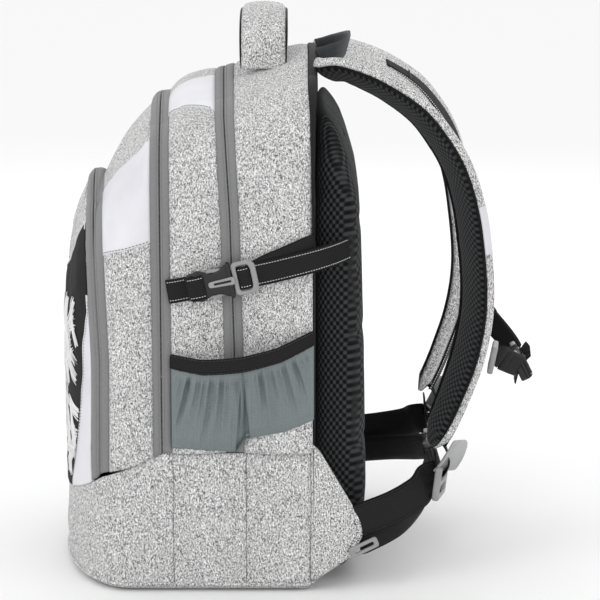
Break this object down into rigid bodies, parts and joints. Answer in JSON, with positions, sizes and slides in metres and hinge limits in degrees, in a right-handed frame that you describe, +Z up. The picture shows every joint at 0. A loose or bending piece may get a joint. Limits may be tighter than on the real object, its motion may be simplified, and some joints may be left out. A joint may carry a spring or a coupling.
{
  "type": "backpack",
  "caption": "Padded daypack with zipped front compartments, bottle pockets, compression straps and a buckled shoulder harness.",
  "frame": {"origin": "centre of the flat base, on the surface that the bag stands on", "axes": "+Z up, -Y the front pocket, +Y the back panel and shoulder straps, +X the wearer's right-hand side"},
  "size_m": [0.3486, 0.4097, 0.483],
  "materials": {
    "heather": "speckled light grey woven polyester",
    "zip_tape": "grey woven zip tape",
    "ripstop": "grey-green ripstop nylon",
    "webbing": "black polypropylene webbing",
    "mesh": "black spacer air mesh",
    "buckle": "grey acetal",
    "lining": "dark grey woven lining",
    "slider_metal": "gunmetal zinc",
    "stiffener": "black polyethylene sheet",
    "black_panel": "black printed fabric",
    "silver": "silver reflective coated fabric"
  },
  "bodies": {
    "root": {"base_tub": "heather", "back_panel": "lining", "rear_gusset": "heather", "main_zip_rear": "zip_tape", "side_pocket_R": "ripstop", "side_pocket_L": "ripstop", "pocket_binding_R": "webbing", "pocket_binding_L": "webbing", "back_pad": "mesh", "frame_sheet": "stiffener", "compression_rear_web_R": "webbing", "compression_rear_web_L": "webbing", "lower_web_R": "webbing", "lower_web_L": "webbing", "strap_anchor_R": "heather", "strap_anchor_L": "heather", "hip_web_R": "webbing", "hip_web_L": "webbing", "hip_female": "buckle"},
    "main_front": {"main_gusset": "heather", "main_divider": "lining", "main_zip_front": "zip_tape", "middle_zip_rear": "zip_tape", "compression_front_web_R": "webbing", "compression_front_web_L": "webbing", "compression_female_R": "buckle", "compression_female_L": "buckle"},
    "middle_flap": {"middle_section": "heather", "middle_zip_front": "zip_tape", "pocket_zip_rear": "zip_tape"},
    "pocket_flap": {"pocket_cover": "heather", "pocket_zip_front": "zip_tape"},
    "compression_male_R": {"compression_male_R": "buckle"},
    "compression_male_L": {"compression_male_L": "buckle"},
    "grab_handle": {"grab_handle": "heather"},
    "hang_loop": {"hang_loop": "webbing"},
    "harness": {"shoulder_pad_R": "mesh", "shoulder_pad_L": "mesh", "shoulder_web_R": "webbing", "shoulder_web_L": "webbing"},
    "ladder_lock_R": {"ladder_lock_R": "buckle"},
    "ladder_lock_L": {"ladder_lock_L": "buckle"},
    "sternum": {"sternum_clip_R": "buckle", "sternum_clip_L": "buckle", "sternum_web_R": "webbing", "sternum_web_L": "webbing", "sternum_female": "buckle"},
    "sternum_male": {"sternum_male": "buckle"},
    "hip_male": {"hip_male": "buckle"},
    "pocket_slider": {"pocket_slider": "slider_metal"},
    "pocket_puller": {"pocket_puller": "buckle"},
    "middle_slider": {"middle_slider": "slider_metal"},
    "middle_puller": {"middle_puller": "buckle"},
    "main_slider": {"main_slider": "slider_metal"},
    "main_puller": {"main_puller": "buckle"}
  },
  "joints": [
    {"name": "main_opening", "type": "hinge", "parent": "root", "child": "main_front", "pos_m": [0, -0.108, 0.066], "axis": [1, 0, 0], "range_deg": [0, 22]},
    {"name": "middle_opening", "type": "hinge", "parent": "main_front", "child": "middle_flap", "pos_m": [0, -0.108, 0.066], "axis": [1, 0, 0], "range_deg": [0, 20]},
    {"name": "pocket_opening", "type": "hinge", "parent": "middle_flap", "child": "pocket_flap", "pos_m": [0, -0.108, 0.066], "axis": [1, 0, 0], "range_deg": [0, 18]},
    {"name": "compression_release_R", "type": "slide", "parent": "main_front", "child": "compression_male_R", "axis": [0, 0.9774, 0.2116], "range_m": [0, 0.02], "deforming": ["compression_rear_web_R"]},
    {"name": "compression_release_L", "type": "slide", "parent": "main_front", "child": "compression_male_L", "axis": [0, 0.9774, 0.2116], "range_m": [0, 0.02], "deforming": ["compression_rear_web_L"]},
    {"name": "handle_tilt", "type": "hinge", "parent": "root", "child": "grab_handle", "pos_m": [0, 0.067, 0.442], "axis": [1, 0, 0], "range_deg": [-14, 14]},
    {"name": "hang_loop_flip", "type": "hinge", "parent": "root", "child": "hang_loop", "pos_m": [0, 0.118, 0.438], "axis": [1, 0, 0], "range_deg": [0, 22]},
    {"name": "harness_swing", "type": "hinge", "parent": "root", "child": "harness", "pos_m": [0, 0.114, 0.43], "axis": [1, 0, 0], "range_deg": [0, 6], "deforming": ["lower_web_R", "lower_web_L"]},
    {"name": "ladder_tilt_R", "type": "hinge", "parent": "harness", "child": "ladder_lock_R", "pos_m": [0.098, 0.219, 0.096], "axis": [1, 0, 0], "range_deg": [-20, 20]},
    {"name": "ladder_tilt_L", "type": "hinge", "parent": "harness", "child": "ladder_lock_L", "pos_m": [-0.098, 0.219, 0.096], "axis": [1, 0, 0], "range_deg": [-20, 20]},
    {"name": "sternum_height", "type": "slide", "parent": "harness", "child": "sternum", "axis": [0, -0.1961, -0.9806], "range_m": [-0.015, 0.015]},
    {"name": "sternum_release", "type": "slide", "parent": "sternum", "child": "sternum_male", "axis": [-1, 0, 0], "range_m": [0, 0.02], "deforming": ["sternum_web_L"]},
    {"name": "hip_release", "type": "slide", "parent": "root", "child": "hip_male", "axis": [-1, 0, 0], "range_m": [0, 0.02], "deforming": ["hip_web_L"]},
    {"name": "pocket_slide", "type": "slide", "parent": "middle_flap", "child": "pocket_slider", "axis": [0, 0, 1], "range_m": [-0.03, 0]},
    {"name": "pocket_pull", "type": "hinge", "parent": "pocket_slider", "child": "pocket_puller", "pos_m": [-0.1515, -0.072, 0.247], "axis": [0, 1, 0], "range_deg": [0, 80]},
    {"name": "middle_slide", "type": "slide", "parent": "main_front", "child": "middle_slider", "axis": [0, 0, 1], "range_m": [-0.03, 0]},
    {"name": "middle_pull", "type": "hinge", "parent": "middle_slider", "child": "middle_puller", "pos_m": [-0.158, -0.018, 0.297], "axis": [0, 1, 0], "range_deg": [0, 80]},
    {"name": "main_slide", "type": "slide", "parent": "root", "child": "main_slider", "axis": [0, 0, 1], "range_m": [-0.03, 0]},
    {"name": "main_pull", "type": "hinge", "parent": "main_slider", "child": "main_puller", "pos_m": [-0.158, 0.038, 0.349], "axis": [0, 1, 0], "range_deg": [0, 80]}
  ]
}
